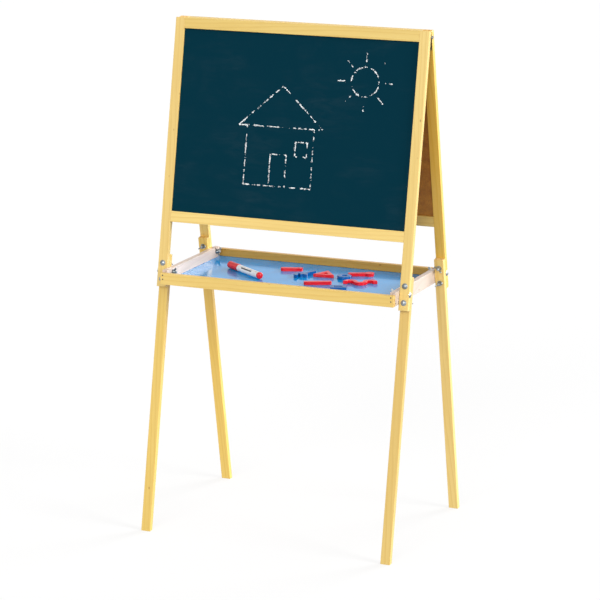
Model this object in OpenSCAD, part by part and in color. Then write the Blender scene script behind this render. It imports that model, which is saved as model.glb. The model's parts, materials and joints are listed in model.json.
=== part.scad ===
// Kids easel: two hinged frames, a chalkboard on the front, a magnetic dry-wipe board on the rear,
// a tray between the legs that swings down as the easel folds, and bolted-on lower legs.
// +X is the easel's right seen from the front, -Y is the chalkboard side, +Z is up.
// The origin is on the floor, midway between the four feet.

/* [Frame] */
// Overall width across the uprights
frame_w = 600; // [500:10:680]
// Length of each side from its top edge to the floor, along the slope
side_len = 1152; // [1100:4:1200]
// Lean of each side from the vertical, in degrees
lean = 11; // [10:0.5:12]
// Width of an upright and of a lower leg
stile_w = 22; // [21:1:26]
// Thickness of every batten
batten_t = 12; // [12:1:14]
// Length of an upright
stile_len = 600; // [596:1:610]
// Height of the rails above and below each board
rail_h = 24; // [22:1:30]
// Distance from the top edge down to the lower rail
board_bottom = 430; // [400:5:450]
// Distance from the top edge down to the top of a lower leg
leg_top = 527; // [520:1:532]

/* [Boards] */
// Thickness of the chalkboard, and of the dry-wipe board with its backing
board_t = 3.2; // [2.8:0.1:3.6]
// Thickness of the steel sheet on the dry-wipe board
steel_t = 0.6; // [0.4:0.1:0.8]
// How deep the boards sit in the grooves of their frame
groove_d = 6; // [5:0.5:6]

/* [Tray] */
// Height of the tray's underside above the floor
tray_z = 556; // [554:1:558]
// Height of the front and rear rails
tray_end_h = 25; // [22:1:28]
// Height of the side rails
tray_side_h = 30; // [29:1:34]
// Outer face of the front rail, measured forward of the hinge line
tray_front = 154; // [148:1:158]
// Outer face of the rear rail, measured behind the hinge line
tray_rear = 144; // [142:1:154]
// Thickness of the tray's floor panel
panel_t = 3; // [3:0.5:4]
// Height of the floor panel's underside above the tray's underside
panel_lift = 4.5; // [4:0.5:6]

/* [Hardware] */
// Diameter of the bolts
bolt_d = 5; // [5:0.5:5.5]
// Distance from the top edge down to the upper leg bolts
bolt_upper = 547; // [545:1:549]
// Distance between the two bolts of one leg
bolt_pitch = 36; // [34:1:38]
// Reach of a wing nut's wing from its axis
wing_r = 10.4; // [9.5:0.1:10.4]
// Distance from the top edge down to the hinge pins
hinge_drop = 12; // [12:1:13]
// Distance from the hinge line to the frames' inner faces
hinge_gap = 3; // [3:0.1:3.4]

/* [Loose pieces] */
// Length of the marker with its cap on
marker_len = 138; // [130:1:150]
// Diameter of the marker's barrel
marker_d = 15; // [12:0.5:16]
// Thickness of the magnetic shapes
magnet_t = 7; // [5:0.5:8]

/* [Hidden] */

$fn = 48;
LEFT = -1;
RIGHT = 1;
PINE = [0.93, 0.82, 0.52];
HARDBOARD = [0.50, 0.31, 0.12];
CHALK_GREEN = [0.01, 0.21, 0.27];
TRAY_BLUE = [0.02, 0.45, 0.72];
ZINC = [0.66, 0.67, 0.68];
MARKER_WHITE = [0.92, 0.93, 0.94];
TOY_RED = [0.78, 0.08, 0.08];
TOY_BLUE = [0.05, 0.20, 0.62];

half_w = frame_w / 2;
stile_in = half_w - stile_w;
face_in = hinge_gap;
face_out = hinge_gap + batten_t;
mid_n = hinge_gap + batten_t / 2;
bolt_r = bolt_d / 2;
clear_r = bolt_r + 0.25;
tight_gap = 0.05;
snug_gap = 0.1;
fit_r = bolt_r + tight_gap;
bolt_lower = bolt_upper + bolt_pitch;
side_bolt = bolt_upper + bolt_pitch / 2;
stile_mid = half_w - stile_w / 2;
board_top = rail_h;
board_low = board_bottom + rail_h;
dowel_r = 2.5;
dowel_half = 14;
dowel_edges = [5, 12.5];
head_r = 6.5;
head_h = 3.2;
washer_r = 6;
washer_t = 1;
nut_h = 5.5;
nut_gap = 0.1;
play = 0.5;
slide_gap = 0.3;
overlap = 0.1;
overcut = 1;

// The hinge line's height puts the lower legs' ends on the floor.
hinge_z = (side_len - hinge_drop) * cos(lean) - face_in * sin(lean);

// Height, forward reach and bolts of the tray.
tray_half = stile_in - play;
tray_inner = tray_half - batten_t;
floor_z = tray_z + panel_lift + panel_t;
pivot_y = (side_bolt - hinge_drop) * sin(lean) + mid_n * cos(lean);
pivot_z = hinge_z - (side_bolt - hinge_drop) * cos(lean) + mid_n * sin(lean);

// The tray swings this far while the frames fold this far, and a rear bolt then leaves its side rail
// along this slope.
tray_travel = 101;
fold_travel = 17;
slot_rise = pivot_y * (2 * tray_travel / fold_travel - 1);
slot_angle = atan2(slot_rise, (side_bolt - hinge_drop) * cos(lean));
slot_len = 20;

// ---------- places ----------

// A frame's own directions: x across, y from front to back through it, z up the slope from the pin.
module front_frame() {
  translate([0, 0, hinge_z]) rotate([-lean, 0, 0]) children();
}

module rear_frame() {
  mirror([0, 1, 0]) front_frame() children();
}

// Height in a frame of a point that is s below the top edge.
function up(s) = hinge_drop - s;

// A piece drawn for the right side, put on either side.
module on_side(side) {
  mirror([side == LEFT ? 1 : 0, 0, 0]) children();
}

// A batten from s0 to s1 down the slope, from x0 to x1 across, from n0 to n1 outwards.
module slab(x0, x1, n0, n1, s0, s1) {
  translate([x0, -n1, up(s1)]) cube([x1 - x0, n1 - n0, s1 - s0]);
}

// A rod along n, with its outer end at n1 and its inner end at n0.
module rod_n(x, s, n0, n1, r) {
  translate([x, -n0, up(s)]) rotate([90, 0, 0]) cylinder(h = n1 - n0, r = r);
}

// A rod along x.
module rod_x(x0, x1, y, z, r) {
  translate([x0, y, z]) rotate([0, 90, 0]) cylinder(h = x1 - x0, r = r);
}

// ---------- frame pieces, in a frame's own directions ----------

module stile_shape(side) {
  on_side(side) difference() {
    slab(stile_in, half_w, face_in, face_out, 0, stile_len);
    slab(stile_in - overcut, stile_in + groove_d, mid_n - board_t / 2, mid_n + board_t / 2,
      board_top - groove_d, board_bottom + groove_d);
    dowel_shapes(tight_gap);
    for (s = [bolt_upper, bolt_lower])
      rod_n(stile_mid, s, face_in - overcut, face_out + overcut, clear_r);
    rod_x(stile_in - overcut, half_w + overcut, -mid_n, up(side_bolt), clear_r);
    for (s = hinge_screw_s) rod_n(stile_mid, s, face_in - overcut, face_in + screw_len, screw_r);
  }
}

module rail_shape(s0, groove_s0) {
  difference() {
    slab(-stile_in, stile_in, face_in, face_out, s0, s0 + rail_h);
    slab(-half_w, half_w, mid_n - board_t / 2, mid_n + board_t / 2,
      groove_s0 - overcut, groove_s0 + groove_d + overcut);
    for (side = [LEFT, RIGHT]) on_side(side) dowel_shapes(tight_gap);
  }
}

module top_rail_shape() {
  rail_shape(0, board_top - groove_d + overcut);
}

module bottom_rail_shape() {
  rail_shape(board_bottom, board_bottom - overcut);
}

// The four dowels of one upright.
module dowel_shapes(gap) {
  for (edge = dowel_edges)
    for (s = [edge, board_low - edge])
      rod_x(stile_in - dowel_half - gap, stile_in + dowel_half + gap, -mid_n, up(s), dowel_r + gap);
}

module both_dowels() {
  for (side = [LEFT, RIGHT]) on_side(side) dowel_shapes(0);
}

board_edge = groove_d - 0.5;

module board_slab(n0, n1) {
  slab(-stile_in - board_edge, stile_in + board_edge, n0, n1,
    board_top - board_edge, board_bottom + board_edge);
}

// The lower leg lies behind its upright and is cut level with the floor.
module leg_shape(side) {
  on_side(side) difference() {
    front_frame() difference() {
      slab(stile_in, half_w, face_in - batten_t, face_in, leg_top, side_len + batten_t);
      for (s = [bolt_upper, bolt_lower])
        rod_n(stile_mid, s, face_in - batten_t - overcut, face_in + overcut, clear_r);
    }
    translate([0, -side_len / 2, -frame_w]) cube([frame_w, side_len, frame_w]);
  }
}

// ---------- bolts, washers and wing nuts ----------

// A round-headed bolt along +z: its head's flat is at z = 0 and its shank runs down.
module bolt_shape(length) {
  cap_r = (head_r * head_r + head_h * head_h) / (2 * head_h);
  intersection() {
    translate([0, 0, head_h - cap_r]) sphere(r = cap_r, $fn = 64);
    cylinder(h = head_h, r = head_r + overcut);
  }
  translate([0, 0, -length]) cylinder(h = length + 0.2, r = bolt_r);
}

module washer_shape() {
  difference() {
    cylinder(h = washer_t, r = washer_r);
    translate([0, 0, -overcut]) cylinder(h = washer_t + 2 * overcut, r = clear_r);
  }
}

// A wing nut along +z with its seat at z = 0 and its wings along x.
module wing_nut_shape() {
  boss_low = 4.8;
  boss_high = 3.8;
  wing_t = 1.8;
  tip_r = 2.6;
  tip_z = 6.8;
  root = 3.2;
  difference() {
    union() {
      cylinder(h = nut_h, r1 = boss_low, r2 = boss_high);
      for (side = [LEFT, RIGHT]) on_side(side) {
        rotate([90, 0, 0]) translate([0, 0, -wing_t / 2]) linear_extrude(wing_t)
          polygon([
            [root, 0.8], [boss_low, 0.8], [wing_r - 1.4, tip_z - 2.2],
            [wing_r - 2 * tip_r + 0.2, tip_z + 1.3], [root, nut_h - 0.6]
          ]);
        translate([wing_r - tip_r, wing_t / 2, tip_z]) rotate([90, 0, 0]) cylinder(h = wing_t, r = tip_r);
      }
    }
    translate([0, 0, -overcut]) cylinder(h = nut_h + 2 * overcut, r = fit_r);
  }
}

leg_stack = 2 * batten_t;
nut_end = 9.5;
leg_bolt_len = leg_stack + washer_t + nut_end;
side_stack = stile_w + play + batten_t + slide_gap;
side_bolt_len = side_stack + washer_t + nut_end;

// A leg bolt's head sits on the upright's outer face, its end points inwards.
module at_leg_bolt(side, s) {
  translate([side * stile_mid, -face_out, up(s)]) rotate([90, 0, 0]) children();
}

module at_leg_nut(side, s, lift) {
  translate([side * stile_mid, batten_t - face_in + lift, up(s)]) rotate([-90, 0, 0]) children();
}

module at_side_bolt(side) {
  translate([side * half_w, -mid_n, up(side_bolt)]) rotate([0, side * 90, 0]) children();
}

module at_side_nut(side, lift) {
  translate([side * (half_w - side_stack - lift), -mid_n, up(side_bolt)])
    rotate([0, -side * 90, 0]) children();
}

module leg_bolts() {
  color(ZINC) for (side = [LEFT, RIGHT], s = [bolt_upper, bolt_lower])
    at_leg_bolt(side, s) bolt_shape(leg_bolt_len);
}

module side_bolts() {
  color(ZINC) for (side = [LEFT, RIGHT]) at_side_bolt(side) bolt_shape(side_bolt_len);
}

module washers() {
  color(ZINC) for (side = [LEFT, RIGHT]) {
    for (s = [bolt_upper, bolt_lower]) at_leg_nut(side, s, 0) washer_shape();
    at_side_nut(side, 0) washer_shape();
  }
}

// Each nut is turned a little differently, as fingers leave them.
module leg_wing_nut(side, s, turn) {
  color(ZINC) at_leg_nut(side, s, washer_t + nut_gap) rotate([0, 0, turn]) wing_nut_shape();
}

module side_wing_nut(side, turn) {
  color(ZINC) at_side_nut(side, washer_t + nut_gap) rotate([0, 0, turn]) wing_nut_shape();
}

// ---------- hinges ----------

knuckle_r = 2.6;
pin_r = 1.4;
pin_fit_r = pin_r + tight_gap;
leaf_t = 1.2;
leaf_h = 30;
hinge_in = stile_in + 1;
hinge_out = half_w - 1;
hinge_len = hinge_out - hinge_in;
knuckle_gap = 0.3;
knuckle_len = hinge_len / 3;
screw_r = 1.2;
screw_head_r = 2.2;
screw_len = 9;
hinge_screw_s = [hinge_drop + 11, hinge_drop + 23];

// Where knuckle i starts along x, counted outwards: the front leaf has the first and the last.
function knuckle_x(i) = hinge_in + i * knuckle_len;

module knuckle(i) {
  rod_x(knuckle_x(i) + knuckle_gap / 2, knuckle_x(i + 1) - knuckle_gap / 2, 0, 0, knuckle_r);
}

module knuckle_notch(i) {
  translate([knuckle_x(i) - knuckle_gap / 2, -face_in - overcut, -knuckle_r - knuckle_gap])
    cube([knuckle_len + knuckle_gap, 2 * face_in + overcut, 3 * knuckle_r]);
}

module leaf_shape(side, own, other) {
  color(ZINC) on_side(side) difference() {
    union() {
      difference() {
        translate([hinge_in, -face_in, -leaf_h]) cube([hinge_len, leaf_t, leaf_h]);
        for (i = other) knuckle_notch(i);
      }
      for (i = own) knuckle(i);
    }
    rod_x(hinge_in - overcut, hinge_out + overcut, 0, 0, pin_fit_r);
    hinge_screw_shapes(tight_gap);
  }
}

// Countersunk screws through a leaf into the upright.
module hinge_screw_shapes(gap) {
  for (s = hinge_screw_s) {
    rod_n(stile_mid, s, face_in - leaf_t / 2, face_in + screw_len - 0.5, screw_r - tight_gap + gap);
    translate([stile_mid, -face_in + leaf_t, up(s)]) rotate([90, 0, 0])
      cylinder(h = leaf_t, r1 = screw_head_r + gap, r2 = screw_r + gap);
  }
}

module hinge_screws() {
  color(ZINC) for (side = [LEFT, RIGHT]) on_side(side) hinge_screw_shapes(0);
}

module hinge_pins() {
  head = 3;
  head_rim = 3.6;
  color(ZINC) for (side = [LEFT, RIGHT]) on_side(side)
    translate([0, 0, hinge_z]) {
      rod_x(hinge_in - 0.5, half_w + slide_gap + overcut, 0, 0, pin_r);
      rod_x(half_w + slide_gap, half_w + slide_gap + head, 0, 0, head_rim);
    }
}

// ---------- tray ----------

nail_r = 0.8;
nail_head_r = 1.6;
nail_head_h = 0.6;
nail_drop = 0.2;
nail_len = 24;
nail_heights = [12, 21];
pin_len = 7;
pin_inset = 14;

// A nail or pin along +z with its head a little below z = 0.
module nail_shape(length, gap) {
  open_h = gap > 0 ? nail_drop + overcut : 0;
  translate([0, 0, -nail_drop - nail_head_h - gap])
    cylinder(h = nail_head_h + gap + open_h, r = nail_head_r + gap);
  translate([0, 0, -length]) cylinder(h = length - nail_drop - nail_head_h / 2, r = nail_r + gap);
}

// Nails through the front and rear rails into the side rails, and pins that hold the floor panel.
module nail_shapes(gap) {
  end_x = tray_inner + batten_t / 2;
  pin_z = tray_z + panel_lift + panel_t / 2;
  for (side = [LEFT, RIGHT]) {
    for (h = nail_heights) {
      translate([side * end_x, -tray_front, tray_z + h]) rotate([90, 0, 0]) nail_shape(nail_len, gap);
      translate([side * end_x, tray_rear, tray_z + h]) rotate([-90, 0, 0]) nail_shape(nail_len, gap);
    }
    for (y = [-tray_front + pin_inset, 0, tray_rear - pin_inset])
      translate([side * tray_half, y, pin_z]) rotate([0, side * 90, 0]) nail_shape(pin_len, gap);
  }
}

panel_in = 4.5;
panel_groove = 5;

// The space that the floor panel's grooves take out of the rails.
module panel_space(reach, gap) {
  translate([-tray_inner - reach, -tray_front + batten_t - reach, tray_z + panel_lift - gap])
    cube([
      2 * (tray_inner + reach),
      tray_front + tray_rear - 2 * batten_t + 2 * reach,
      panel_t + 2 * gap
    ]);
}

module tray_floor_panel() {
  color(TRAY_BLUE) panel_space(panel_in, 0);
}

module tray_end_rail(y0) {
  color(PINE) difference() {
    translate([-tray_half, y0, tray_z]) cube([2 * tray_half, batten_t, tray_end_h]);
    panel_space(panel_groove, snug_gap);
    nail_shapes(tight_gap);
  }
}

// The side rail turns on the front bolt; the rear bolt leaves through a slot that is open at the top.
module tray_side_rail(side) {
  color(PINE) on_side(side) difference() {
    translate([tray_inner, -tray_front + batten_t, tray_z])
      cube([batten_t, tray_front + tray_rear - 2 * batten_t, tray_side_h]);
    panel_space(panel_groove, snug_gap);
    nail_shapes(tight_gap);
    rod_x(tray_inner - overcut, tray_half + overcut, -pivot_y, pivot_z, fit_r);
    rod_x(tray_inner - overcut, tray_half + overcut, pivot_y, pivot_z, bolt_r + slide_gap);
    translate([tray_inner - overcut, pivot_y, pivot_z]) rotate([180 - slot_angle, 0, 0])
      translate([0, 0, -bolt_r - slide_gap])
        cube([batten_t + 2 * overcut, slot_len, 2 * (bolt_r + slide_gap)]);
  }
}

module tray_nails() {
  color(ZINC) nail_shapes(0);
}

// ---------- loose pieces on the tray ----------

marker_spot = [-135, -13];
marker_turn = -35;
rest_gap = 0.1;
cap_len = 43;
cap_over = 0.6;
cap_r = marker_d / 2 + cap_over;
cap_dome_r = 11;
cap_end = 5.6;
plug_len = 8;
plug_dome_r = 11;

// The marker lies on the tray floor; its own z runs from the cap's end along the barrel.
module on_tray_marker() {
  translate([marker_spot[0], marker_spot[1], floor_z + rest_gap + cap_r])
    rotate([0, 0, marker_turn]) translate([-marker_len / 2, 0, 0]) rotate([0, 90, 0]) children();
}

nib_r = 2.4;
nib_out = 5;
nib_len = 16;
nose_r = 4.2;
nose_len = 12;
shoulder = cap_len - 14;
neck_gap = 1.3;
socket_gap = 1.5;
socket_depth = 10;
stub_len = 9.5;

module marker_barrel() {
  color(MARKER_WHITE) on_tray_marker() difference() {
    union() {
      translate([0, 0, cap_len + slide_gap])
        cylinder(h = marker_len - plug_len - cap_len - slide_gap, r = marker_d / 2);
      translate([0, 0, shoulder]) cylinder(h = cap_len - shoulder + overcut, r = marker_d / 2 - neck_gap);
      translate([0, 0, shoulder - nose_len]) cylinder(h = nose_len + overlap, r = nose_r);
    }
    translate([0, 0, shoulder - nose_len - overcut]) cylinder(h = nose_len + overcut, r = nib_r);
    translate([0, 0, marker_len - plug_len - socket_depth])
      cylinder(h = socket_depth + overcut, r = marker_d / 2 - socket_gap);
  }
}

module marker_nib() {
  color("firebrick") on_tray_marker() translate([0, 0, shoulder - nose_len - nib_out])
    cylinder(h = nib_len, r = nib_r - tight_gap);
}

// A rod from z = 0 to h whose end at z = 0 is a low dome.
module domed_rod(h, r, dome_r) {
  dome_h = dome_r - sqrt(dome_r * dome_r - r * r);
  translate([0, 0, dome_h]) cylinder(h = h - dome_h, r = r);
  intersection() {
    translate([0, 0, dome_r]) sphere(r = dome_r, $fn = 64);
    cylinder(h = dome_h + overlap, r = r);
  }
}

module marker_cap() {
  color(TOY_RED) on_tray_marker() difference() {
    domed_rod(cap_len, cap_r, cap_dome_r);
    translate([0, 0, cap_end]) cylinder(h = cap_len, r = marker_d / 2 - neck_gap + snug_gap);
  }
}

module marker_end_plug() {
  color(TOY_RED) on_tray_marker() {
    translate([0, 0, marker_len]) mirror([0, 0, 1]) domed_rod(plug_len, marker_d / 2, plug_dome_r);
    translate([0, 0, marker_len - plug_len - stub_len])
      cylinder(h = stub_len + play, r = marker_d / 2 - socket_gap - tight_gap);
  }
}

// Flat shapes for the magnetic board: [x, y, turn] on the tray floor.
module on_tray_floor(place) {
  translate([place[0], place[1], floor_z + rest_gap]) rotate([0, 0, place[2]])
    linear_extrude(magnet_t) children();
}

module round_bar(length, width) {
  square([length - width, width], center = true);
  for (end = [-1, 1]) translate([end * (length - width) / 2, 0]) circle(d = width);
}

module triangle_outline(size) {
  polygon([for (i = [0:2]) size * [cos(90 + 120 * i), sin(90 + 120 * i)]]);
}

module ring(outer, inner) {
  difference() {
    circle(d = outer);
    circle(d = inner);
  }
}

module magnet_red_bar() {
  color(TOY_RED) on_tray_floor([-50, 55, 20]) round_bar(50, 12);
}

module magnet_red_triangle() {
  color(TOY_RED) on_tray_floor([40, 34, 8]) difference() {
    triangle_outline(28);
    triangle_outline(11);
  }
}

module magnet_red_stick() {
  color(TOY_RED) on_tray_floor([56, -46, 25]) round_bar(62, 12);
}

module magnet_red_paddle() {
  color(TOY_RED) on_tray_floor([112, 68, 24]) {
    translate([-4, 0]) round_bar(48, 10);
    translate([20, 0]) circle(d = 20);
  }
}

module magnet_red_wave() {
  lobe = 32;
  hollow = 12;
  color(TOY_RED) on_tray_floor([141, -6, 22])
    for (i = [-1:1]) translate([i * (lobe + hollow) / 2, 0]) difference() {
      ring(lobe, hollow);
      translate([-lobe / 2 - overcut, i == 0 ? 0 : -lobe]) square([lobe + 2 * overcut, lobe]);
    }
}

module magnet_blue_hook() {
  color(TOY_BLUE) on_tray_floor([-8, 8, 0]) {
    difference() {
      ring(32, 13);
      translate([-3, -20]) square([30, 18]);
    }
    translate([9, 20]) rotate([0, 0, 70]) round_bar(50, 8);
  }
}

module magnet_blue_ring() {
  color(TOY_BLUE) on_tray_floor([88, 31, 0]) ring(32, 13);
}

module magnet_blue_block() {
  color(TOY_BLUE) on_tray_floor([116, -72, 22]) difference() {
    square([36, 24], center = true);
    square([18, 7], center = true);
  }
}

// ---------- nodes ----------

module wood() {
  color(PINE) children();
}

wood() front_frame() stile_shape(LEFT);  // front_stile_left
wood() front_frame() stile_shape(RIGHT);  // front_stile_right
wood() front_frame() top_rail_shape();  // front_top_rail
wood() front_frame() bottom_rail_shape();  // front_bottom_rail
color(CHALK_GREEN) front_frame() board_slab(mid_n - board_t / 2, mid_n + board_t / 2);  // chalkboard
wood() front_frame() both_dowels();  // front_dowels
wood() leg_shape(LEFT);  // front_leg_left
wood() leg_shape(RIGHT);  // front_leg_right
front_frame() leg_bolts();  // front_leg_bolts
front_frame() washers();  // front_washers
front_frame() side_bolts();  // tray_pivot_bolts
front_frame() leaf_shape(LEFT, [0, 2], [1]);  // front_hinge_leaf_left
front_frame() leaf_shape(RIGHT, [0, 2], [1]);  // front_hinge_leaf_right
front_frame() hinge_screws();  // front_hinge_screws
hinge_pins();

wood() rear_frame() stile_shape(LEFT);  // rear_stile_left
wood() rear_frame() stile_shape(RIGHT);  // rear_stile_right
wood() rear_frame() top_rail_shape();  // rear_top_rail
wood() rear_frame() bottom_rail_shape();  // rear_bottom_rail
color("white") rear_frame() board_slab(mid_n + board_t / 2 - steel_t, mid_n + board_t / 2);  // whiteboard_sheet
color(HARDBOARD) rear_frame() board_slab(mid_n - board_t / 2, mid_n + board_t / 2 - steel_t);  // whiteboard_backing
wood() rear_frame() both_dowels();  // rear_dowels
wood() mirror([0, 1, 0]) leg_shape(LEFT);  // rear_leg_left
wood() mirror([0, 1, 0]) leg_shape(RIGHT);  // rear_leg_right
rear_frame() leg_bolts();  // rear_leg_bolts
rear_frame() washers();  // rear_washers
rear_frame() side_bolts();  // tray_rear_bolts
rear_frame() leaf_shape(LEFT, [1], [0, 2]);  // rear_hinge_leaf_left
rear_frame() leaf_shape(RIGHT, [1], [0, 2]);  // rear_hinge_leaf_right
rear_frame() hinge_screws();  // rear_hinge_screws

tray_end_rail(-tray_front);  // tray_front_rail
tray_end_rail(tray_rear - batten_t);  // tray_rear_rail
tray_side_rail(LEFT);  // tray_side_rail_left
tray_side_rail(RIGHT);  // tray_side_rail_right
tray_floor_panel();
tray_nails();

front_frame() leg_wing_nut(LEFT, bolt_upper, 20);  // wing_nut_front_left_upper
front_frame() leg_wing_nut(LEFT, bolt_lower, -35);  // wing_nut_front_left_lower
front_frame() leg_wing_nut(RIGHT, bolt_upper, 50);  // wing_nut_front_right_upper
front_frame() leg_wing_nut(RIGHT, bolt_lower, 10);  // wing_nut_front_right_lower
rear_frame() leg_wing_nut(LEFT, bolt_upper, -25);  // wing_nut_rear_left_upper
rear_frame() leg_wing_nut(LEFT, bolt_lower, 60);  // wing_nut_rear_left_lower
rear_frame() leg_wing_nut(RIGHT, bolt_upper, 40);  // wing_nut_rear_right_upper
rear_frame() leg_wing_nut(RIGHT, bolt_lower, -30);  // wing_nut_rear_right_lower
front_frame() side_wing_nut(LEFT, 30);  // wing_nut_tray_front_left
front_frame() side_wing_nut(RIGHT, 15);  // wing_nut_tray_front_right
rear_frame() side_wing_nut(LEFT, 45);  // wing_nut_tray_rear_left
rear_frame() side_wing_nut(RIGHT, -20);  // wing_nut_tray_rear_right

marker_barrel();
marker_cap();
marker_end_plug();
marker_nib();
magnet_red_bar();
magnet_red_triangle();
magnet_red_stick();
magnet_red_paddle();
magnet_red_wave();
magnet_blue_hook();
magnet_blue_ring();
magnet_blue_block();
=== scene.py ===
import json
import math
import random

import bmesh
import bpy
from mathutils import Matrix, Vector

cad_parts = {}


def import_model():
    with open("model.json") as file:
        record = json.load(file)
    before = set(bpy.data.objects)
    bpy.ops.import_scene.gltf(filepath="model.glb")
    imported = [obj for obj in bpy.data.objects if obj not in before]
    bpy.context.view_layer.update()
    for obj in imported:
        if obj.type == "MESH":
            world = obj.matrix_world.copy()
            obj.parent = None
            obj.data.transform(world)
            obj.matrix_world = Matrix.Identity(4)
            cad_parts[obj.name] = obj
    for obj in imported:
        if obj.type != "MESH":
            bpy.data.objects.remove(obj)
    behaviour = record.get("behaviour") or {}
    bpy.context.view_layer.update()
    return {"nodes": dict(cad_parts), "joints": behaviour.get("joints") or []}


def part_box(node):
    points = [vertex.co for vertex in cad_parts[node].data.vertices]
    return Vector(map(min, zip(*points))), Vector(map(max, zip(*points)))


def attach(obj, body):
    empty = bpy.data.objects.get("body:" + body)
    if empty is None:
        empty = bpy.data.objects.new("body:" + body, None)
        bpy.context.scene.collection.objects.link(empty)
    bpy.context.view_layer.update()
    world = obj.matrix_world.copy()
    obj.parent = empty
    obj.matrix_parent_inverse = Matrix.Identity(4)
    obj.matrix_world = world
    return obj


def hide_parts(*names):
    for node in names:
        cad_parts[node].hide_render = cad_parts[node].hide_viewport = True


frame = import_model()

NODES = frame["nodes"]
MM = 0.001

# ---------- sizes that the CAD also uses ----------

JOINTS = {joint["name"]: joint for joint in frame["joints"]}
LEAN = math.radians(11)
HINGE_Z = JOINTS["fold"]["pos_m"][2]
HINGE_DROP = 12 * MM
HINGE_GAP = 3 * MM
HALF_W = 300 * MM
STILE_W = 22 * MM
BATTEN_T = 12 * MM
RAIL_H = 24 * MM
BOARD_T = 3.2 * MM
BOARD_BOTTOM = 430 * MM
BOLT_UPPER = 547 * MM
BOLT_PITCH = 36 * MM
LEG_BOLT_LEN = 34.5 * MM
SIDE_BOLT_LEN = 45.3 * MM
SIDES = (-1, 1)
# Across a frame, measured outward from the plane in which its hinge lies.
MID_N = HINGE_GAP + BATTEN_T / 2
FACE_OUT = HINGE_GAP + BATTEN_T
BOARD_FACE = MID_N + BOARD_T / 2
STILE_MID = HALF_W - STILE_W / 2
BOARD_MIDDLE = (RAIL_H + BOARD_BOTTOM) / 2
MARKER_SPOT = (-135 * MM, -13 * MM)
MARKER_TURN = math.radians(-35)
MARKER_LEN = 138 * MM
MARKER_R = 7.5 * MM

# ---------- how much each kind of edge is rounded ----------

TIMBER_ROUND = 0.7 * MM
NUT_ROUND = 0.35 * MM
MAGNET_ROUND = 1.2 * MM
CAP_ROUND = 1.0 * MM
WELD_GAP = 0.01 * MM
SHARP_ANGLE = math.radians(40)
# Longer than any facet of a bore's rim, and shorter than any edge that a hand would feel.
RIM_FACET = 2.2 * MM

# ---------- how the chalk is laid; lengths are in mm ----------

CHALK_SEED = 11
STROKE_STEP = 0.9
FLAKES_PER_STEP = 3
PRESSURE_CHANGE = 0.55
STROKE_SPREAD = 0.62
FLAKE_STRAY = 0.4
FLAKE_SIZES = (0.35, 0.66)
FLAKE_HEIGHTS = (0.06, 0.12)
FLAKE_SUNK = 0.02
FLAKE_STRETCH = 1.5
FLAKE_TOP = 0.72

# ---------- the stripe on the marker ----------

STRIPE_START = 62 * MM
STRIPE_LEN = 44 * MM
STRIPE_HALF = 1.6 * MM
STRIPE_COLUMNS = 40
STRIPE_FACING = math.radians(232)
STRIPE_SUNK = 0.05 * MM
STRIPE_PROUD = 0.06 * MM
STRIPE_TIP = 0.12 * MM

# ---------- M5 cup-head bolts ----------

SHANK_R = 2.5 * MM
THREAD_LEN = 18 * MM
THREAD_PITCH = 0.8 * MM
THREAD_ROOT = 2.08 * MM
THREAD_CREST = 2.48 * MM
TIP_R = 1.7 * MM
TIP_CHAMFER = 0.4 * MM
THREAD_RUNOUT = 0.5 * MM
HEAD_R = 6.5 * MM
HEAD_H = 3.2 * MM
HEAD_LIP = 0.25 * MM
HEAD_STEPS = 9
LATHE_STEPS = 32
CREASE_ANGLE = math.radians(35)

# ---------- studio ----------

FLOOR_HALF = 30.0
SKY_SEEN = 1.0
SKY_FOR_LIGHT = 0.53
CAMERA_AZIMUTH = math.radians(23.36)
CAMERA_ELEVATION = math.radians(13.55)
CAMERA_DISTANCE = 5.911
CAMERA_LENS = 158.78
CAMERA_AIM_Z = 0.5126
CAMERA_AIM_LEFT = 0.0057


def in_frame(back):
    """The matrix from a leaning frame's own directions (x, outward along -y, up its slope) to the part's."""
    place = Matrix.Translation((0, 0, HINGE_Z)) @ Matrix.Rotation(-LEAN, 4, "X")
    return Matrix.Diagonal((1, -1, 1, 1)) @ place if back else place


# ---------- node graphs ----------


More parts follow.
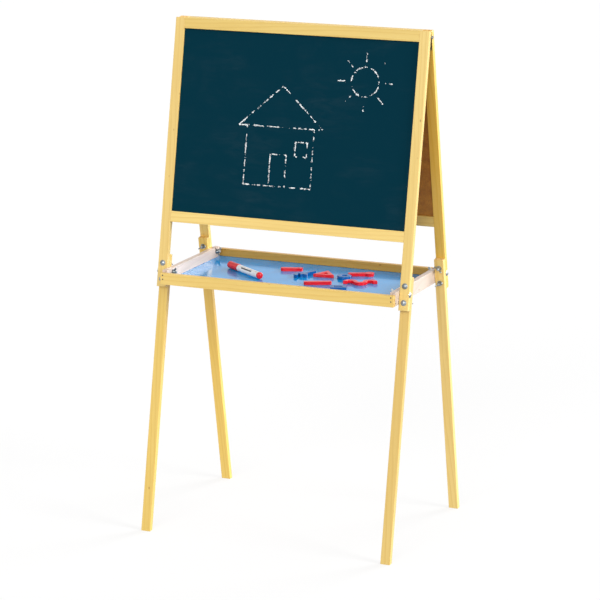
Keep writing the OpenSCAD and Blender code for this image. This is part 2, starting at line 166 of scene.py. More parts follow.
class Graph:
    """A node tree with short ways to add and join nodes."""

    def __init__(self, tree):
        self.tree = tree

    def add(self, kind, inputs=None, **settings):
        made = self.tree.nodes.new("ShaderNode" + kind)
        for name, value in settings.items():
            setattr(made, name, value)
        for name, value in (inputs or {}).items():
            self.feed(made.inputs[name], value)
        return made

    def feed(self, socket, value):
        if isinstance(value, bpy.types.NodeSocket):
            self.tree.links.new(value, socket)
        else:
            socket.default_value = value

    def math(self, operation, a, b=0.0, clamp=False):
        made = self.add("Math", operation=operation, use_clamp=clamp)
        self.feed(made.inputs[0], a)
        self.feed(made.inputs[1], b)
        return made.outputs[0]

    def times_plus(self, value, gain, base):
        made = self.math("MULTIPLY_ADD", value, gain)
        made.node.inputs[2].default_value = base
        return made

    def noise(self, vector, scale, detail=2.0, roughness=0.5, distortion=0.0):
        made = self.add("TexNoise", {"Vector": vector, "Scale": scale, "Detail": detail})
        self.feed(made.inputs["Roughness"], roughness)
        self.feed(made.inputs["Distortion"], distortion)
        return made.outputs["Fac"]

    def stretch(self, vector, scale, rotation=(0, 0, 0), location=(0, 0, 0)):
        return self.add(
            "Mapping", {"Vector": vector, "Scale": scale, "Rotation": rotation, "Location": location}
        ).outputs[0]

    def ramp(self, factor, stops):
        """stops are (place, grey or colour)."""
        made = self.add("ValToRGB", {"Fac": factor})
        points = made.color_ramp.elements
        while len(points) < len(stops):
            points.new(0.5)
        for point, (place, shade) in zip(points, stops):
            point.position = place
            point.color = (shade, shade, shade, 1) if isinstance(shade, float) else (*shade, 1)
        return made.outputs["Color"]

    def mix(self, factor, a, b, blend="MIX"):
        made = self.add("Mix", data_type="RGBA", blend_type=blend)
        self.feed(made.inputs["Factor"], factor)
        self.feed(made.inputs["A"], a if isinstance(a, bpy.types.NodeSocket) else (*a, 1))
        self.feed(made.inputs["B"], b if isinstance(b, bpy.types.NodeSocket) else (*b, 1))
        return made.outputs["Result"]

    def bump(self, height, strength, distance):
        return self.add("Bump", {"Height": height, "Strength": strength, "Distance": distance}).outputs[0]

    def part_of(self, vector, axis):
        return self.add("SeparateXYZ", {"Vector": vector}).outputs[axis]


def material(name, **constants):
    """A material with its graph and its Principled shader; constants go on the shader's own sockets."""
    made = bpy.data.materials.new(name)
    made.use_nodes = True
    graph = Graph(made.node_tree)
    shader = made.node_tree.nodes["Principled BSDF"]
    for socket, value in constants.items():
        shader.inputs[socket.replace("_", " ")].default_value = value
    where = graph.add("TexCoord")
    return made, graph, shader, where.outputs["Object"], where.outputs["Normal"]


# ---------- pine ----------


def pine_group():
    """Pine with its grain along Z: growth rings, fibres, pin knots and end grain."""
    tree = bpy.data.node_groups.new("pine_grain", "ShaderNodeTree")
    face = tree.interface
    for name in ("Place", "Facing"):
        face.new_socket(name, in_out="INPUT", socket_type="NodeSocketVector")
    for name in ("Tone", "Saturation", "Hue"):
        face.new_socket(name, in_out="INPUT", socket_type="NodeSocketFloat")
    face.new_socket("Color", in_out="OUTPUT", socket_type="NodeSocketColor")
    face.new_socket("Roughness", in_out="OUTPUT", socket_type="NodeSocketFloat")
    face.new_socket("Normal", in_out="OUTPUT", socket_type="NodeSocketVector")
    graph = Graph(tree)
    given = tree.nodes.new("NodeGroupInput")
    gives = tree.nodes.new("NodeGroupOutput")
    place = given.outputs["Place"]

    wander = graph.noise(graph.stretch(place, (9, 9, 2.2)), 1.0, 2.0)
    bend = graph.math("MULTIPLY", wander, 0.020)
    shifted = graph.add("VectorMath", operation="ADD")
    graph.feed(shifted.inputs[0], place)
    graph.feed(shifted.inputs[1], graph.add("CombineXYZ", {"X": bend, "Y": bend}).outputs[0])
    rings = graph.add(
        "TexWave",
        {
            "Vector": graph.stretch(shifted.outputs[0], (1, 0.55, 0.035)),
            "Scale": 62.0, "Distortion": 3.2, "Detail": 3.0, "Detail Scale": 1.2, "Detail Roughness": 0.55,
        },
        wave_type="BANDS", bands_direction="DIAGONAL", wave_profile="SAW",
    ).outputs["Fac"]
    late_wood = graph.ramp(rings, ((0.0, 0.0), (0.62, 0.12), (0.93, 1.0), (1.0, 0.1)))
    fibres = graph.noise(graph.stretch(place, (900, 900, 22)), 1.0, 3.0, 0.6)
    patches = graph.noise(graph.stretch(place, (26, 26, 3.5)), 1.0, 2.0)

    pale, honey = (0.76, 0.550, 0.180), (0.62, 0.385, 0.085)
    amount = graph.math("MULTIPLY", late_wood, graph.math("MULTIPLY", patches, 0.85), clamp=True)
    colour = graph.mix(amount, pale, honey)
    streak = graph.ramp(fibres, ((0.30, 0.90), (0.62, 1.0)))
    colour = graph.mix(0.55, colour, streak, "MULTIPLY")
    tint = graph.ramp(patches, ((0.30, (0.93, 0.89, 0.80)), (0.70, (1.0, 1.0, 1.0))))
    colour = graph.mix(1.0, colour, tint, "MULTIPLY")

    cells = graph.add(
        "TexVoronoi", {"Vector": graph.stretch(place, (1, 1, 0.6)), "Scale": 27.0}, feature="F1"
    ).outputs["Distance"]
    knot = graph.ramp(cells, ((0.022, 1.0), (0.060, 0.0)))
    colour = graph.mix(graph.math("MULTIPLY", knot, 0.72), colour, (0.30, 0.125, 0.035))

    along = graph.part_of(given.outputs["Facing"], "Z")
    is_end = graph.ramp(graph.math("ABSOLUTE", along), ((0.60, 0.0), (0.80, 1.0)))
    pores = graph.noise(graph.stretch(place, (1500, 1500, 1500)), 1.0, 2.0)
    end_colour = graph.mix(graph.math("MULTIPLY", late_wood, 0.8), (0.70, 0.47, 0.17), (0.44, 0.25, 0.07))
    end_colour = graph.mix(0.5, end_colour, graph.ramp(pores, ((0.35, 0.72), (0.6, 1.0))), "MULTIPLY")
    colour = graph.mix(is_end, colour, end_colour)
    toned = graph.add(
        "HueSaturation",
        {
            "Color": colour, "Value": given.outputs["Tone"], "Saturation": given.outputs["Saturation"],
            "Hue": given.outputs["Hue"],
        },
    )
    graph.feed(gives.inputs["Color"], toned.outputs[0])

    worn = graph.times_plus(fibres, 0.16, 0.33)
    graph.feed(gives.inputs["Roughness"], graph.math("ADD", worn, graph.math("MULTIPLY", is_end, 0.2)))
    relief = graph.math("ADD", graph.math("MULTIPLY", late_wood, 0.5), fibres)
    graph.feed(gives.inputs["Normal"], graph.bump(relief, 0.22, 0.0004))
    return tree


PINE_GRAIN = pine_group()
QUARTER = math.pi / 2
TURNS = {
    "front_up": (LEAN, 0, 0),
    "front_across": (LEAN, QUARTER, 0),
    "rear_up": (-LEAN, 0, 0),
    "rear_across": (-LEAN, QUARTER, 0),
    "tray_across": (0, QUARTER, 0),
    "tray_deep": (QUARTER, 0, 0),
}


def pine(name, turn, seed, shade):
    """Pine for one timber: the seed moves it to its own place in the wood, and the shade sets its tone,
    saturation and hue, which for some timbers are painted light and painted shade.
    """
    made, graph, shader, place, facing = material(name, Coat_Weight=0.12, Coat_Roughness=0.25)
    grain = graph.add("Group", node_tree=PINE_GRAIN)
    turned = graph.stretch(place, (1, 1, 1), TURNS[turn], (0.137 * seed, 0.071 * seed, 0.293 * seed))
    graph.feed(grain.inputs["Place"], turned)
    graph.feed(
        grain.inputs["Facing"],
        graph.add("Mapping", {"Vector": facing, "Rotation": TURNS[turn]}, vector_type="NORMAL").outputs[0],
    )
    for socket, value in zip(("Tone", "Saturation", "Hue"), shade):
        grain.inputs[socket].default_value = value
    graph.feed(shader.inputs["Base Color"], grain.outputs["Color"])
    graph.feed(shader.inputs["Roughness"], grain.outputs["Roughness"])
    graph.feed(shader.inputs["Normal"], grain.outputs["Normal"])
    return made


# Each timber: its node, the way its grain runs, its tone, its saturation and its hue (0.5 is plain pine). The
# rear frame's toned-up stiles and legs, the tray's darker, more saturated rear rail and the tray's pale,
# pinkish side rails are painted light and painted shade for how the light falls on them; the small spread
# among the other timbers is the wood's own tone.
TIMBERS = (
    ("front_stile_left", "front_up", 1.02, 1.00, 0.500),
    ("front_stile_right", "front_up", 1.03, 1.00, 0.502),
    ("front_top_rail", "front_across", 0.97, 1.04, 0.502),
    ("front_bottom_rail", "front_across", 1.09, 1.00, 0.502),
    ("front_dowels", "front_across", 0.95, 1.00, 0.500),
    ("front_leg_left", "front_up", 1.00, 1.08, 0.500),
    ("front_leg_right", "front_up", 0.94, 1.04, 0.498),
    # Rear stiles and legs: tone raised and saturation added, painted light on parts that the lamps leave dim.
    ("rear_stile_left", "rear_up", 1.27, 1.06, 0.496),
    ("rear_stile_right", "rear_up", 1.10, 1.14, 0.496),
    ("rear_top_rail", "rear_across", 1.00, 1.00, 0.500),
    ("rear_bottom_rail", "rear_across", 1.04, 1.04, 0.500),
    ("rear_dowels", "rear_across", 0.95, 1.00, 0.500),
    ("rear_leg_left", "rear_up", 1.19, 1.10, 0.498),
    ("rear_leg_right", "rear_up", 1.16, 1.00, 0.500),
    ("tray_front_rail", "tray_across", 1.08, 1.04, 0.500),
    # Tray rear rail darker and more saturated, painted shade; tray side rails pale and pinkish, a painted
    # highlight of strong side light.
    ("tray_rear_rail", "tray_across", 0.84, 1.15, 0.484),
    ("tray_side_rail_left", "tray_deep", 0.94, 0.40, 0.458),
    ("tray_side_rail_right", "tray_deep", 0.88, 0.38, 0.462),
)


# ---------- boards ----------


def hardboard_colours(graph, place):
    """Pressed fibre board: a brown ground with pale and dark flecks."""
    ground = graph.noise(graph.stretch(place, (60, 60, 60)), 1.0, 3.0)
    flecks = graph.noise(graph.stretch(place, (900, 900, 900)), 1.0, 4.0, 0.7, 0.4)
    brown = graph.ramp(ground, ((0.3, (0.360, 0.135, 0.010)), (0.7, (0.510, 0.220, 0.018))))
    speckled = graph.ramp(
        flecks,
        ((0.30, (0.50, 0.45, 0.40)), (0.50, (1.0, 1.0, 1.0)), (0.70, (1.7, 1.6, 1.4))),
    )
    return graph.mix(0.75, brown, speckled, "MULTIPLY"), flecks


def chalkboard_material():
    """Matt dark teal paint with a little wiped chalk dust, and bare hardboard behind."""
    made, graph, shader, place, facing = material("chalkboard_paint", Specular_IOR_Level=0.02)
    haze = graph.noise(graph.stretch(place, (7, 7, 9)), 1.0, 4.0, 0.6, 0.6)
    swipes = graph.noise(graph.stretch(place, (14, 60, 60), (0, 0.5, 0)), 1.0, 5.0, 0.65, 0.8)
    grit = graph.noise(graph.stretch(place, (2400, 2400, 2400)), 1.0, 2.0)
    hazy = graph.ramp(haze, ((0.45, 0.0), (0.75, 1.0)))
    swiped = graph.ramp(swipes, ((0.42, 0.0), (0.72, 1.0)))
    dust = graph.math("MULTIPLY", hazy, swiped)
    painted = graph.mix(graph.math("MULTIPLY", dust, 0.035), (0.0006, 0.0290, 0.0480), (0.30, 0.36, 0.38))
    painted = graph.mix(0.5, painted, graph.ramp(grit, ((0.3, 0.80), (0.7, 1.0))), "MULTIPLY")
    brown, flecks = hardboard_colours(graph, place)
    is_back = graph.math("GREATER_THAN", graph.part_of(facing, "Y"), 0.2)
    graph.feed(shader.inputs["Base Color"], graph.mix(is_back, painted, brown))
    graph.feed(shader.inputs["Roughness"], graph.times_plus(dust, 0.2, 0.58))
    relief = graph.math("ADD", grit, graph.math("MULTIPLY", flecks, is_back))
    graph.feed(shader.inputs["Normal"], graph.bump(relief, 0.18, 0.0003))
    return made


def hardboard_material():
    """The rough side of hardboard, which carries the print of the pressing screen."""
    made, graph, shader, place, _ = material("hardboard")
    colour, flecks = hardboard_colours(graph, place)
    threads = [
        graph.add(
            "TexWave", {"Vector": place, "Scale": 300.0, "Distortion": 0.6, "Detail": 1.0},
            wave_type="BANDS", bands_direction=way,
        ).outputs["Fac"]
        for way in ("X", "Z")
    ]
    screen = graph.math("MULTIPLY", *threads)
    shade = graph.ramp(screen, ((0.0, 0.7), (1.0, 1.0)))
    graph.feed(shader.inputs["Base Color"], graph.mix(0.25, colour, shade, "MULTIPLY"))
    graph.feed(shader.inputs["Roughness"], graph.times_plus(flecks, 0.2, 0.6))
    graph.feed(shader.inputs["Normal"], graph.bump(graph.math("ADD", screen, flecks), 0.3, 0.0004))
    return made


def whiteboard_material():
    """Enamelled steel with the faint ghosts of wiped ink."""
    made, graph, shader, place, _ = material("whiteboard_steel", Coat_Weight=0.6, Coat_Roughness=0.06)
    ghost = graph.noise(graph.stretch(place, (9, 30, 16), (0, 0.4, 0)), 1.0, 4.0, 0.6, 1.0)
    orange_peel = graph.noise(graph.stretch(place, (260, 260, 260)), 1.0, 2.0)
    enamel = graph.ramp(ghost, ((0.30, (0.585, 0.602, 0.628)), (0.70, (0.615, 0.628, 0.650))))
    graph.feed(shader.inputs["Base Color"], enamel)
    graph.feed(shader.inputs["Roughness"], graph.times_plus(ghost, 0.06, 0.16))
    graph.feed(shader.inputs["Normal"], graph.bump(orange_peel, 0.08, 0.0002))
    return made


def tray_material():
    """Hardboard, glossy blue lacquer on top with fine scratches and a little mottling, bare brown below."""
    made, graph, shader, place, facing = material("tray_blue", Specular_IOR_Level=0.35)
    mottle = graph.noise(graph.stretch(place, (16, 16, 16)), 1.0, 3.0)
    scratches = graph.noise(graph.stretch(place, (40, 900, 900), (0, 0, 0.5)), 1.0, 3.0, 0.7)
    marks = graph.ramp(scratches, ((0.66, 0.0), (0.74, 1.0)))
    base = graph.ramp(mottle, ((0.3, (0.0, 0.275, 0.690)), (0.7, (0.0, 0.325, 0.780))))
    lacquer = graph.mix(graph.math("MULTIPLY", marks, 0.18), base, (0.20, 0.38, 0.62))
    brown, _ = hardboard_colours(graph, place)
    is_below = graph.math("LESS_THAN", graph.part_of(facing, "Z"), -0.5)
    graph.feed(shader.inputs["Base Color"], graph.mix(is_below, lacquer, brown))
    above = graph.times_plus(graph.math("ADD", mottle, marks), 0.07, 0.09)
    below = graph.math("MULTIPLY", is_below, 0.7)
    graph.feed(shader.inputs["Roughness"], graph.math("MAXIMUM", above, below))
    ripple = graph.noise(graph.stretch(place, (120, 120, 120)), 1.0, 2.0)
    relief = graph.math("ADD", ripple, graph.math("MULTIPLY", marks, -0.3))
    graph.feed(shader.inputs["Normal"], graph.bump(relief, 0.10, 0.0003))
    return made


# ---------- metal, plastic, chalk ----------


def metal_material(name, dark, light, metallic):
    """Plated or bare steel with spangle and smears."""
    made, graph, shader, place, _ = material(name, Metallic=metallic)
    spangle = graph.noise(graph.stretch(place, (420, 420, 420)), 1.0, 3.0)
    smears = graph.noise(graph.stretch(place, (90, 90, 90)), 1.0, 2.0)
    graph.feed(shader.inputs["Base Color"], graph.ramp(smears, ((0.35, dark), (0.65, light))))
    graph.feed(shader.inputs["Roughness"], graph.times_plus(spangle, 0.22, 0.20))
    graph.feed(shader.inputs["Normal"], graph.bump(spangle, 0.12, 0.0002))
    return made


def plastic_material(name, dark, light, gloss):
    """Moulded plastic with a faint orange-peel skin and handling marks."""
    made, graph, shader, place, _ = material(
        name, Coat_Weight=0.10, Coat_Roughness=0.12, Specular_IOR_Level=0.35
    )
    cloud = graph.noise(graph.stretch(place, (70, 70, 70)), 1.0, 3.0)
    skin = graph.noise(graph.stretch(place, (1300, 1300, 1300)), 1.0, 2.0)
    graph.feed(shader.inputs["Base Color"], graph.ramp(cloud, ((0.35, dark), (0.65, light))))
    graph.feed(shader.inputs["Roughness"], graph.times_plus(cloud, 0.18, gloss))
    graph.feed(shader.inputs["Normal"], graph.bump(skin, 0.10, 0.0002))
    return made


def felt_material():
    made, graph, shader, place, _ = material("felt", Roughness=0.9)
    fuzz = graph.noise(graph.stretch(place, (3000, 3000, 3000)), 1.0, 3.0)
    red = graph.ramp(fuzz, ((0.3, (0.28, 0.01, 0.01)), (0.7, (0.55, 0.03, 0.03))))
    graph.feed(shader.inputs["Base Color"], red)
    graph.feed(shader.inputs["Normal"], graph.bump(fuzz, 0.5, 0.0003))
    return made


def chalk_material():
    made, graph, shader, place, _ = material("chalk", Roughness=0.95)
    powder = graph.noise(graph.stretch(place, (1400, 1400, 1400)), 1.0, 3.0)
    white = graph.ramp(powder, ((0.30, (0.62, 0.68, 0.70)), (0.60, (0.95, 0.96, 0.96))))
    graph.feed(shader.inputs["Base Color"], white)
    graph.feed(shader.inputs["Normal"], graph.bump(powder, 0.4, 0.0002))
    return made


# ---------- dressing and rounding the CAD nodes ----------


def dress(node, finish):
    """Gives a CAD node its material by the object, so that its mesh isn't changed."""
    for slot in NODES[node].material_slots:
        slot.link = "OBJECT"
        slot.material = finish


def edge_picker():
    """Marks the long sharp edges for rounding, and keeps the rims of small bores crisp."""
    tree = bpy.data.node_groups.new("edge_picker", "GeometryNodeTree")
    tree.interface.new_socket("Geometry", in_out="INPUT", socket_type="NodeSocketGeometry")
    tree.interface.new_socket("Geometry", in_out="OUTPUT", socket_type="NodeSocketGeometry")
    graph = Graph(tree)
    given = tree.nodes.new("NodeGroupInput")
    gives = tree.nodes.new("NodeGroupOutput")
    angle = tree.nodes.new("GeometryNodeInputMeshEdgeAngle")
    ends = tree.nodes.new("GeometryNodeInputMeshEdgeVertices")
    span = graph.add("VectorMath", operation="DISTANCE")
    graph.feed(span.inputs[0], ends.outputs["Position 1"])
    graph.feed(span.inputs[1], ends.outputs["Position 2"])
    is_sharp = graph.math("GREATER_THAN", angle.outputs["Unsigned Angle"], SHARP_ANGLE)
    is_long = graph.math("GREATER_THAN", span.outputs["Value"], RIM_FACET)
    rounded = graph.math("MULTIPLY", is_sharp, is_long)
    smooth_shaded = graph.math("SUBTRACT", graph.math("ADD", rounded, 1.0), is_sharp)
    store = tree.nodes.new("GeometryNodeStoreNamedAttribute")
    store.data_type = "FLOAT"
    store.domain = "EDGE"
    graph.feed(store.inputs["Name"], "bevel_weight_edge")
    graph.feed(store.inputs["Geometry"], given.outputs[0])
    graph.feed(store.inputs["Value"], rounded)
    shade = tree.nodes.new("GeometryNodeSetShadeSmooth")
    shade.domain = "EDGE"
    graph.feed(shade.inputs[0], store.outputs["Geometry"])
    graph.feed(shade.inputs["Shade Smooth"], smooth_shaded)
    graph.feed(gives.inputs[0], shade.outputs[0])
    return tree


EDGE_PICKER = edge_picker()


def soften(node, width, long_edges=False):
    """Rounds a CAD node's edges by its modifiers; its own mesh stays as it is."""
    stack = NODES[node].modifiers
    stack.new("weld", "WELD").merge_threshold = WELD_GAP
    if long_edges:
        stack.new("pick", "NODES").node_group = EDGE_PICKER
    bevel = stack.new("round", "BEVEL")
    bevel.width = width
    bevel.segments = 2
    bevel.limit_method = "WEIGHT" if long_edges else "ANGLE"
    bevel.angle_limit = SHARP_ANGLE
    bevel.use_clamp_overlap = True
    # Keeps the flat faces flat in shading.
    flat = stack.new("flat", "WEIGHTED_NORMAL")
    flat.weight = 100
    flat.keep_sharp = long_edges


for seed, (node, turn, *shade) in enumerate(TIMBERS, 1):
    dress(node, pine("pine_" + node, turn, seed, shade))
    if "dowels" not in node:
        soften(node, TIMBER_ROUND, long_edges=True)

dress("chalkboard", chalkboard_material())
dress("whiteboard_backing", hardboard_material())
dress("whiteboard_sheet", whiteboard_material())
dress("tray_floor_panel", tray_material())

ZINC = metal_material("zinc_steel", (0.18, 0.21, 0.23), (0.38, 0.41, 0.43), 1.0)
NAIL_STEEL = metal_material("nail_steel", (0.045, 0.045, 0.05), (0.10, 0.10, 0.11), 0.6)
RED = plastic_material("toy_red", (0.62, 0.003, 0.010), (0.76, 0.006, 0.018), 0.22)
BLUE = plastic_material("toy_blue", (0.001, 0.080, 0.29), (0.002, 0.115, 0.38), 0.22)
WHITE = plastic_material("marker_white", (0.78, 0.79, 0.81), (0.86, 0.87, 0.88), 0.20)
ZINC_WORDS = ("bolts", "washers", "hinge", "screws", "wing_nut")

for node in NODES:
    if any(word in node for word in ZINC_WORDS):
        dress(node, ZINC)
    if node.startswith("wing_nut_"):
        soften(node, NUT_ROUND)
    if node.startswith("magnet_"):
        dress(node, RED if "red" in node else BLUE)
        soften(node, MAGNET_ROUND)
dress("tray_nails", NAIL_STEEL)
for node in ("marker_cap", "marker_end_plug"):
    dress(node, RED)
    soften(node, CAP_ROUND)
dress("marker_barrel", WHITE)
dress("marker_nib", felt_material())


# ---------- pieces that the CAD doesn't have ----------


def add_piece(name, mesh, finish):
    """Turns a bmesh into a scene object with one material."""
    data = bpy.data.meshes.new(name)
    mesh.to_mesh(data)
    mesh.free()
    made = bpy.data.objects.new(name, data)
    bpy.context.scene.collection.objects.link(made)
    data.materials.append(finish)
    return made


# ---------- chalk drawing ----------


def arc(cx, cy, rx, ry, start, end, steps):
    """Part of an ellipse, between two angles in degrees."""
    turns = [math.radians(start + (end - start) * i / steps) for i in range(steps + 1)]
    return [(cx + rx * math.cos(t), cy + ry * math.sin(t)) for t in turns]


def straight(*points):
    """Straight strokes from point to point, kept apart so that the corners stay sharp."""
    return [list(pair) for pair in zip(points, points[1:])]


def rays(cx, cy, inner, outer, count):
    """Short strokes all round a point, between two distances from it."""
    turns = [2 * math.pi * i / count for i in range(count)]
    return [[(cx + reach * math.cos(t), cy + reach * math.sin(t)) for reach in (inner, outer)] for t in turns]


# A plain house under a sun, in mm across and up from the board's middle.
SUN_SPOT = (160, 110)
STROKES = [
    *straight((-110, 0), (-110, -130), (50, -130), (50, 0)),
    *straight((-130, 0), (-30, 90), (70, 0), (-130, 0)),
    *straight((-50, -130), (-50, -60), (-12, -60), (-12, -130)),
    *straight((8, -62), (8, -30), (36, -30), (36, -62), (8, -62)),
    arc(*SUN_SPOT, 32, 32, 0, 360, 24),
    *rays(*SUN_SPOT, 44, 64, 8),
]


def smooth(points, step):
    """Points every step along a Catmull-Rom curve through the given ones."""
    ends = [points[0]] + list(points) + [points[-1]]
    fine = []
    for a, b, c, d in zip(ends, ends[1:], ends[2:], ends[3:]):
        count = max(1, round(math.dist(b, c) / step))
        for i in range(count):
            t = i / count
            fine.append(tuple(
                0.5 * (2 * b[k] + (c[k] - a[k]) * t + (2 * a[k] - 5 * b[k] + 4 * c[k] - d[k]) * t * t
                       + (3 * b[k] - a[k] - 3 * c[k] + d[k]) * t ** 3)
                for k in (0, 1)
            ))
    return fine


def add_flake(mesh, place, x, z, size, angle, thickness, draw):
    """A low irregular chip of chalk on the board, lengthened along its stroke."""
    count = draw.choice((5, 6, 7))
    rims = []
    for depth, spread in ((-FLAKE_SUNK * MM, 1.0), (thickness, FLAKE_TOP)):
        rim = []
        for i in range(count):
            t = 2 * math.pi * i / count
            reach = size * spread * (0.85 + 0.3 * math.sin(3.1 * i + angle * 5))
            across = reach * math.cos(t) * FLAKE_STRETCH
            up = reach * math.sin(t)
            rim.append(mesh.verts.new(place @ Vector((
                x + across * math.cos(angle) - up * math.sin(angle),
                -BOARD_FACE - depth,
                z + across * math.sin(angle) + up * math.cos(angle),
            ))))
        rims.append(rim)
    low, high = rims
    mesh.faces.new(high)
    mesh.faces.new(low[::-1])
    for i in range(count):
        j = (i + 1) % count
        mesh.faces.new((low[i], low[j], high[j], high[i]))


def chalk_drawing():
    """The strokes as loose flakes, which thin out and break off as the chalk's pressure wanders."""
    draw = random.Random(CHALK_SEED)
    mesh = bmesh.new()
    place = in_frame(False)
    middle_z = HINGE_DROP - BOARD_MIDDLE
    for stroke in STROKES:
        pressure = 0.5
        line = smooth(stroke, STROKE_STEP)
        for (x0, z0), (x1, z1) in zip(line, line[1:]):
            change = draw.uniform(-PRESSURE_CHANGE, PRESSURE_CHANGE)
            pressure = min(1.0, max(0.0, pressure + change))
            angle = math.atan2(z1 - z0, x1 - x0)
            for _ in range(FLAKES_PER_STEP):
                # Light pressure leaves gaps, and full pressure leaves none.
                if draw.random() > 1.5 * pressure - 0.35:
                    continue
                side = draw.gauss(0, STROKE_SPREAD)
                x = x0 - side * math.sin(angle) + draw.uniform(-FLAKE_STRAY, FLAKE_STRAY)
                z = z0 + side * math.cos(angle) + draw.uniform(-FLAKE_STRAY, FLAKE_STRAY)
                size = draw.uniform(*FLAKE_SIZES) * (0.6 + 0.9 * pressure)
                turned = angle + draw.uniform(-0.5, 0.5)
                height = draw.uniform(*FLAKE_HEIGHTS) * MM
                add_flake(mesh, place, x * MM, middle_z + z * MM, size * MM, turned, height, draw)
    drawing = add_piece("chalk_drawing", mesh, chalk_material())
    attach(drawing, "front_frame")


chalk_drawing()


# ---------- the stripe on the marker ----------


def ink_material():
    """Dark ink, worn thin in places."""
    made, graph, shader, place, _ = material("marker_ink", Specular_IOR_Level=0.3)
    wear = graph.noise(graph.stretch(place, (900, 900, 900)), 1.0, 3.0)
    ink = graph.ramp(wear, ((0.35, (0.03, 0.03, 0.04)), (0.72, (0.14, 0.14, 0.16))))
    graph.feed(shader.inputs["Base Color"], ink)
    graph.feed(shader.inputs["Roughness"], graph.ramp(wear, ((0.3, 0.35), (0.7, 0.55))))
    return made


def stripe_reach(along):
    """Half the stripe's width at a share of its length; the ends are round."""
    from_end = min(along, 1 - along) * STRIPE_LEN
    if from_end > STRIPE_HALF:
        return STRIPE_HALF
    return max(STRIPE_TIP, math.sqrt(max(0.0, 2 * STRIPE_HALF * from_end - from_end ** 2)))


def marker_stripe():
    """A plain dark stripe along the barrel: a thin closed strip, bent to the barrel's curve."""
    low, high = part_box("marker_cap")
    axis_z = (low[2] + high[2]) / 2
    place = (
        Matrix.Translation((MARKER_SPOT[0], MARKER_SPOT[1], axis_z))
        @ Matrix.Rotation(MARKER_TURN, 4, "Z")
        @ Matrix.Translation((-MARKER_LEN / 2, 0, 0))
        @ Matrix.Rotation(QUARTER, 4, "Y")
    )
    mesh = bmesh.new()
    layers = []
    for radius in (MARKER_R - STRIPE_SUNK, MARKER_R + STRIPE_PROUD):
        rows = []
        for i in range(STRIPE_COLUMNS + 1):
            along = 0.5 - 0.5 * math.cos(math.pi * i / STRIPE_COLUMNS)
            turns = [STRIPE_FACING + side * stripe_reach(along) / radius for side in (-1, -0.33, 0.33, 1)]
            rows.append([
                mesh.verts.new(place @ Vector((
                    radius * math.cos(turn), radius * math.sin(turn), STRIPE_START + along * STRIPE_LEN
                )))
                for turn in turns
            ])
        layers.append(rows)
    inner, outer = layers
    last = len(outer[0]) - 1
    for i in range(STRIPE_COLUMNS):
        for k in range(last):
            for rows in layers:
                mesh.faces.new((rows[i][k], rows[i + 1][k], rows[i + 1][k + 1], rows[i][k + 1]))
        for k in (0, last):
            mesh.faces.new((inner[i][k], inner[i + 1][k], outer[i + 1][k], outer[i][k]))
    for i in (0, STRIPE_COLUMNS):
        for k in range(last):
            mesh.faces.new((inner[i][k], inner[i][k + 1], outer[i][k + 1], outer[i][k]))
    bmesh.ops.recalc_face_normals(mesh, faces=mesh.faces)
    stripe = add_piece("marker_stripe", mesh, ink_material())
    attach(stripe, "marker")


marker_stripe()


# ---------- bolts with real threads ----------


def lathe(mesh, profile, place):
    """Turns a profile of (radius, height) pairs about Z; its ends lie on the axis."""
    turns = [2 * math.pi * i / LATHE_STEPS for i in range(LATHE_STEPS)]
    rings = []
    for radius, height in profile:
        if radius == 0:
            rings.append([mesh.verts.new(place @ Vector((0, 0, height)))])
        else:
            rings.append([
                mesh.verts.new(place @ Vector((radius * math.cos(t), radius * math.sin(t), height)))
                for t in turns
            ])
    for low, high in zip(rings, rings[1:]):
        for i in range(LATHE_STEPS):
            j = (i + 1) % LATHE_STEPS
            if len(low) == 1:
                corners = (low[0], high[j], high[i])
            elif len(high) == 1:
                corners = (low[i], low[j], high[0])
            else:
                corners = (low[i], low[j], high[j], high[i])
            mesh.faces.new(corners)


def bolt_profile(length):
    """A cup-head bolt: head above z = 0, shank below it, threaded at its end."""
    profile = [(0, -length), (TIP_R, -length), (THREAD_ROOT, -length + TIP_CHAMFER)]
    height = -length + THREAD_RUNOUT
    while height < THREAD_LEN - length:
        profile += [
            (THREAD_ROOT, height),
            (THREAD_CREST, height + 0.32 * THREAD_PITCH),
            (THREAD_CREST, height + 0.48 * THREAD_PITCH),
        ]
        height += THREAD_PITCH
    profile += [(THREAD_ROOT, height), (SHANK_R, height + THREAD_RUNOUT), (SHANK_R, 0)]
    rim = HEAD_R - 0.05 * MM
    profile += [(HEAD_R - 0.4 * MM, 0), (rim, HEAD_LIP)]
    cap_r = (HEAD_R ** 2 + HEAD_H ** 2) / (2 * HEAD_H)
    centre = HEAD_H - cap_r
    edge = math.asin(rim / cap_r)
    for i in range(1, HEAD_STEPS):
        t = edge * (1 - i / HEAD_STEPS)
        profile.append((cap_r * math.sin(t), centre + cap_r * math.cos(t)))
    return profile + [(0, HEAD_H)]


def bolts(node, body, back, across):
    """Threaded bolts in place of a node's plain ones, either across the tray or through the legs."""
    mesh = bmesh.new()
    profile = bolt_profile(SIDE_BOLT_LEN if across else LEG_BOLT_LEN)
    frame_place = in_frame(back)
    if across:
        spots = [
            Matrix.Translation((side * HALF_W, -MID_N, HINGE_DROP - BOLT_UPPER - BOLT_PITCH / 2))
            @ Matrix.Rotation(side * QUARTER, 4, "Y")
            for side in SIDES
        ]
    else:
        spots = [
            Matrix.Translation((side * STILE_MID, -FACE_OUT, HINGE_DROP - BOLT_UPPER - drop))
            @ Matrix.Rotation(QUARTER, 4, "X")
            for side in SIDES
            for drop in (0, BOLT_PITCH)
        ]
    for spot in spots:
        lathe(mesh, profile, frame_place @ spot)
    bmesh.ops.recalc_face_normals(mesh, faces=mesh.faces)
    for face in mesh.faces:
        face.smooth = True
    made = add_piece(node + "_turned", mesh, ZINC)
    made.data.set_sharp_from_angle(angle=CREASE_ANGLE)
    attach(made, body)
    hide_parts(node)


bolts("front_leg_bolts", "front_frame", False, False)
bolts("tray_pivot_bolts", "front_frame", False, True)
bolts("rear_leg_bolts", "rear_frame", True, False)
bolts("tray_rear_bolts", "rear_frame", True, True)


# ---------- stage, light, camera ----------


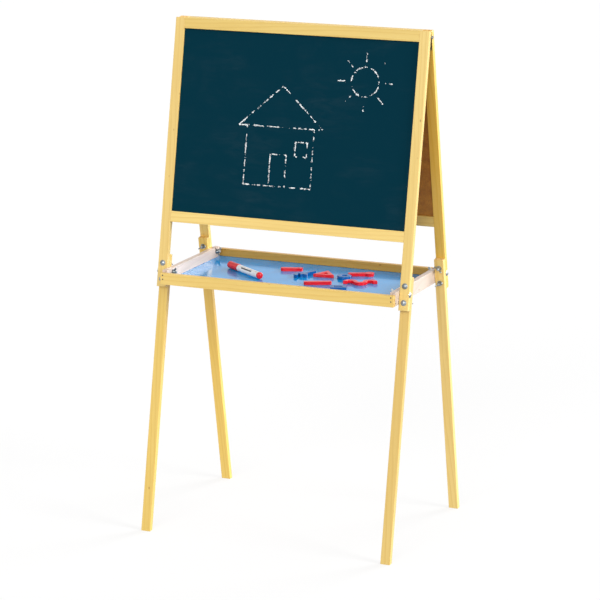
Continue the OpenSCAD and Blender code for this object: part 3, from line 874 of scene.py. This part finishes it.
def stage():
    """A pale floor that glows a little, so that it meets the white background without an edge."""
    paint, *_ = material(
        "floor_paint", Base_Color=(0.22, 0.22, 0.22, 1), Roughness=0.9, Specular_IOR_Level=0.0,
        Emission_Color=(1, 1, 1, 1), Emission_Strength=0.74,
    )
    mesh = bmesh.new()
    bmesh.ops.create_grid(mesh, x_segments=1, y_segments=1, size=FLOOR_HALF)
    floor = add_piece("floor", mesh, paint)
    floor.visible_diffuse = False


def world():
    """A white sky: dimmer as a light than it looks to the camera and in reflections."""
    made = bpy.data.worlds.new("studio")
    bpy.context.scene.world = made
    made.use_nodes = True
    graph = Graph(made.node_tree)
    shown = made.node_tree.nodes["Background"]
    shown.inputs["Color"].default_value = (1, 1, 1, 1)
    path = graph.add("LightPath")
    seen = graph.math("MAXIMUM", path.outputs["Is Camera Ray"], path.outputs["Is Glossy Ray"])
    strength = graph.times_plus(seen, SKY_SEEN - SKY_FOR_LIGHT, SKY_FOR_LIGHT)
    graph.feed(shown.inputs["Strength"], strength)


def sun(name, direction, strength, spread):
    """A distant soft light that shines from the given direction; its spread is in degrees."""
    lamp = bpy.data.lights.new(name, "SUN")
    lamp.energy = strength
    lamp.angle = math.radians(spread)
    made = bpy.data.objects.new(name, lamp)
    made.rotation_euler = Vector(direction).to_track_quat("Z", "Y").to_euler()
    bpy.context.scene.collection.objects.link(made)


def camera():
    """A long lens from the front right, a little above the tray."""
    level = math.cos(CAMERA_ELEVATION)
    right = Vector((math.cos(CAMERA_AZIMUTH), math.sin(CAMERA_AZIMUTH), 0))
    back = Vector((
        math.sin(CAMERA_AZIMUTH) * level, -math.cos(CAMERA_AZIMUTH) * level, math.sin(CAMERA_ELEVATION)
    ))
    aim = Vector((0, 0, CAMERA_AIM_Z)) - CAMERA_AIM_LEFT * right
    data = bpy.data.cameras.new("camera")
    data.lens = CAMERA_LENS
    data.sensor_width = 36
    made = bpy.data.objects.new("camera", data)
    made.location = aim + CAMERA_DISTANCE * back
    made.rotation_euler = (-back).to_track_quat("-Z", "Y").to_euler()
    bpy.context.scene.collection.objects.link(made)
    bpy.context.scene.camera = made


stage()
world()
sun("key", (1.0, -0.12, 0.36), 2.6, 24)
sun("fill", (0.1, -1.0, 0.45), 1.6, 40)
sun("back", (0.5, 0.9, 0.30), 2.4, 30)
camera()
bpy.context.scene.view_settings.view_transform = "Standard"
